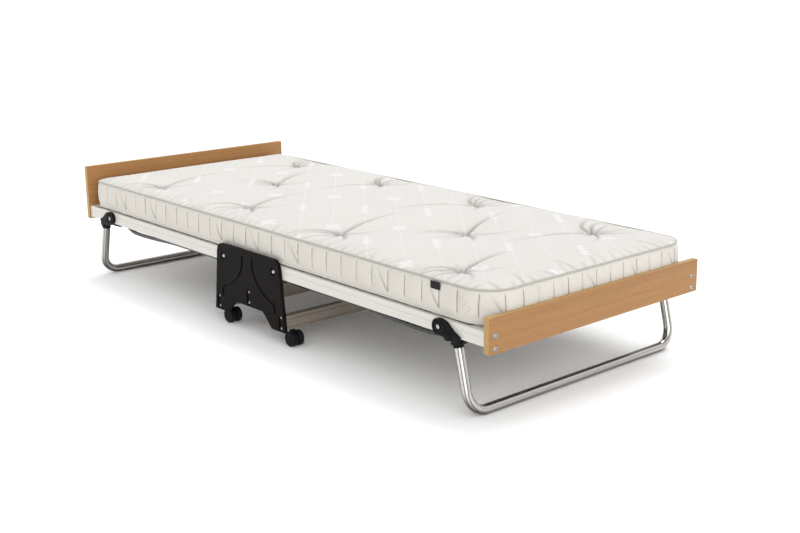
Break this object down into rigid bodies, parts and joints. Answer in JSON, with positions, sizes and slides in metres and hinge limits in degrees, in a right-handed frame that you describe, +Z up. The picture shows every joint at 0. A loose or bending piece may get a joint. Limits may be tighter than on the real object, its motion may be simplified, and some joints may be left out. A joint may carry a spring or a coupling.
{
  "type": "rollaway bed",
  "caption": "Folding rollaway bed: two frame halves hinged on a castor carriage, with self-folding tube legs, a tufted mattress and wooden end boards.",
  "frame": {"origin": "on the floor, under the middle of the carriage and the middle of the bed's length and width", "axes": "+X along the bed to the foot end with the low board, +Y across the bed, +Z up"},
  "size_m": [1.9648, 0.8166, 0.367],
  "materials": {
    "black_plastic": "moulded, fine satin texture",
    "bronze_aluminium": "bronze grey anodised, brushed along the length",
    "bright_screws": "bright plated",
    "rivet_steel": "zinc plated",
    "cream_paint": "smooth satin powder coat",
    "beech": "clear varnished beech",
    "webbing": "woven strap",
    "ticking": "ivory damask ticking",
    "bright_chrome": "polished",
    "ribbed_plastic": "ribbed moulding, satin",
    "black_paint": "gloss black",
    "castor_plastic": "smooth",
    "castor_tread": "satin"
  },
  "bodies": {
    "carriage": {"plate_near": "black_plastic", "plate_far": "black_plastic", "crossrail_head": "bronze_aluminium", "crossrail_centre": "bronze_aluminium", "crossrail_foot": "bronze_aluminium", "plate_screws": "bright_screws", "fold_pins": "rivet_steel", "anchor_pins": "rivet_steel", "mattress_fold": "ticking"},
    "head_half": {"head_rail_near": "cream_paint", "head_rail_far": "cream_paint", "head_crossbar": "cream_paint", "head_board": "beech", "head_board_screws": "bright_screws", "head_end_plates": "cream_paint", "head_deck_straps": "webbing", "head_strap_clips": "rivet_steel", "head_leg_pins": "rivet_steel", "head_mattress": "ticking"},
    "head_leg": {"head_leg_tube": "bright_chrome", "head_bracket_near": "ribbed_plastic", "head_bracket_far": "ribbed_plastic", "head_link_pins": "rivet_steel"},
    "head_links": {"head_link_near": "black_paint", "head_link_far": "black_paint"},
    "foot_half": {"foot_rail_near": "cream_paint", "foot_rail_far": "cream_paint", "foot_crossbar": "cream_paint", "foot_board": "beech", "foot_board_screws": "bright_screws", "foot_end_plates": "cream_paint", "foot_deck_straps": "webbing", "foot_strap_clips": "rivet_steel", "foot_leg_pins": "rivet_steel", "foot_mattress": "ticking"},
    "foot_leg": {"foot_leg_tube": "bright_chrome", "foot_bracket_near": "ribbed_plastic", "foot_bracket_far": "ribbed_plastic", "foot_link_pins": "rivet_steel"},
    "foot_links": {"foot_link_near": "black_paint", "foot_link_far": "black_paint"},
    "castor_head_near": {"castor_head_near_housing": "castor_plastic", "castor_head_near_axle": "rivet_steel"},
    "castor_head_near_outer": {"castor_head_near_wheel_outer": "castor_tread"},
    "castor_head_near_inner": {"castor_head_near_wheel_inner": "castor_tread"},
    "castor_head_far": {"castor_head_far_housing": "castor_plastic", "castor_head_far_axle": "rivet_steel"},
    "castor_head_far_outer": {"castor_head_far_wheel_outer": "castor_tread"},
    "castor_head_far_inner": {"castor_head_far_wheel_inner": "castor_tread"},
    "castor_foot_near": {"castor_foot_near_housing": "castor_plastic", "castor_foot_near_axle": "rivet_steel"},
    "castor_foot_near_outer": {"castor_foot_near_wheel_outer": "castor_tread"},
    "castor_foot_near_inner": {"castor_foot_near_wheel_inner": "castor_tread"},
    "castor_foot_far": {"castor_foot_far_housing": "castor_plastic", "castor_foot_far_axle": "rivet_steel"},
    "castor_foot_far_outer": {"castor_foot_far_wheel_outer": "castor_tread"},
    "castor_foot_far_inner": {"castor_foot_far_wheel_inner": "castor_tread"}
  },
  "joints": [
    {"name": "head_fold", "type": "hinge", "parent": "carriage", "child": "head_half", "pos_m": [-0.126, 0, 0.213], "axis": [0, 1, 0], "range_deg": [0, 90], "deforming": ["mattress_fold"]},
    {"name": "head_leg_swing", "type": "hinge", "parent": "head_half", "child": "head_leg", "pos_m": [-0.812, 0, 0.213], "axis": [0, -1, 0], "range_deg": [0, 104]},
    {"name": "head_link_swing", "type": "hinge", "parent": "carriage", "child": "head_links", "pos_m": [-0.1115, 0, 0.1835], "axis": [0, 1, 0], "range_deg": [0, 90]},
    {"name": "foot_fold", "type": "hinge", "parent": "carriage", "child": "foot_half", "pos_m": [0.126, 0, 0.213], "axis": [0, -1, 0], "range_deg": [0, 90], "deforming": ["mattress_fold"]},
    {"name": "foot_leg_swing", "type": "hinge", "parent": "foot_half", "child": "foot_leg", "pos_m": [0.812, 0, 0.213], "axis": [0, 1, 0], "range_deg": [0, 104]},
    {"name": "foot_link_swing", "type": "hinge", "parent": "carriage", "child": "foot_links", "pos_m": [0.1115, 0, 0.1835], "axis": [0, -1, 0], "range_deg": [0, 90]},
    {"name": "castor_head_near_swivel", "type": "hinge", "parent": "carriage", "child": "castor_head_near", "pos_m": [-0.156, -0.368, 0.049], "axis": [0, 0, 1], "continuous": true},
    {"name": "castor_head_near_outer_roll", "type": "hinge", "parent": "castor_head_near", "child": "castor_head_near_outer", "pos_m": [-0.143, -0.368, 0.022], "axis": [0, 1, 0], "continuous": true},
    {"name": "castor_head_near_inner_roll", "type": "hinge", "parent": "castor_head_near", "child": "castor_head_near_inner", "pos_m": [-0.143, -0.368, 0.022], "axis": [0, 1, 0], "continuous": true},
    {"name": "castor_head_far_swivel", "type": "hinge", "parent": "carriage", "child": "castor_head_far", "pos_m": [-0.156, 0.368, 0.049], "axis": [0, 0, 1], "continuous": true},
    {"name": "castor_head_far_outer_roll", "type": "hinge", "parent": "castor_head_far", "child": "castor_head_far_outer", "pos_m": [-0.143, 0.368, 0.022], "axis": [0, 1, 0], "continuous": true},
    {"name": "castor_head_far_inner_roll", "type": "hinge", "parent": "castor_head_far", "child": "castor_head_far_inner", "pos_m": [-0.143, 0.368, 0.022], "axis": [0, 1, 0], "continuous": true},
    {"name": "castor_foot_near_swivel", "type": "hinge", "parent": "carriage", "child": "castor_foot_near", "pos_m": [0.156, -0.368, 0.049], "axis": [0, 0, 1], "continuous": true},
    {"name": "castor_foot_near_outer_roll", "type": "hinge", "parent": "castor_foot_near", "child": "castor_foot_near_outer", "pos_m": [0.169, -0.368, 0.022], "axis": [0, 1, 0], "continuous": true},
    {"name": "castor_foot_near_inner_roll", "type": "hinge", "parent": "castor_foot_near", "child": "castor_foot_near_inner", "pos_m": [0.169, -0.368, 0.022], "axis": [0, 1, 0], "continuous": true},
    {"name": "castor_foot_far_swivel", "type": "hinge", "parent": "carriage", "child": "castor_foot_far", "pos_m": [0.156, 0.368, 0.049], "axis": [0, 0, 1], "continuous": true},
    {"name": "castor_foot_far_outer_roll", "type": "hinge", "parent": "castor_foot_far", "child": "castor_foot_far_outer", "pos_m": [0.169, 0.368, 0.022], "axis": [0, 1, 0], "continuous": true},
    {"name": "castor_foot_far_inner_roll", "type": "hinge", "parent": "castor_foot_far", "child": "castor_foot_far_inner", "pos_m": [0.169, 0.368, 0.022], "axis": [0, 1, 0], "continuous": true}
  ],
  "couplings": [
    {"joint": "head_leg_swing", "follows": "head_fold", "ratio": 1.15},
    {"joint": "head_link_swing", "follows": "head_fold", "ratio": 0.9943},
    {"joint": "foot_leg_swing", "follows": "foot_fold", "ratio": 1.15},
    {"joint": "foot_link_swing", "follows": "foot_fold", "ratio": 0.9943}
  ]
}
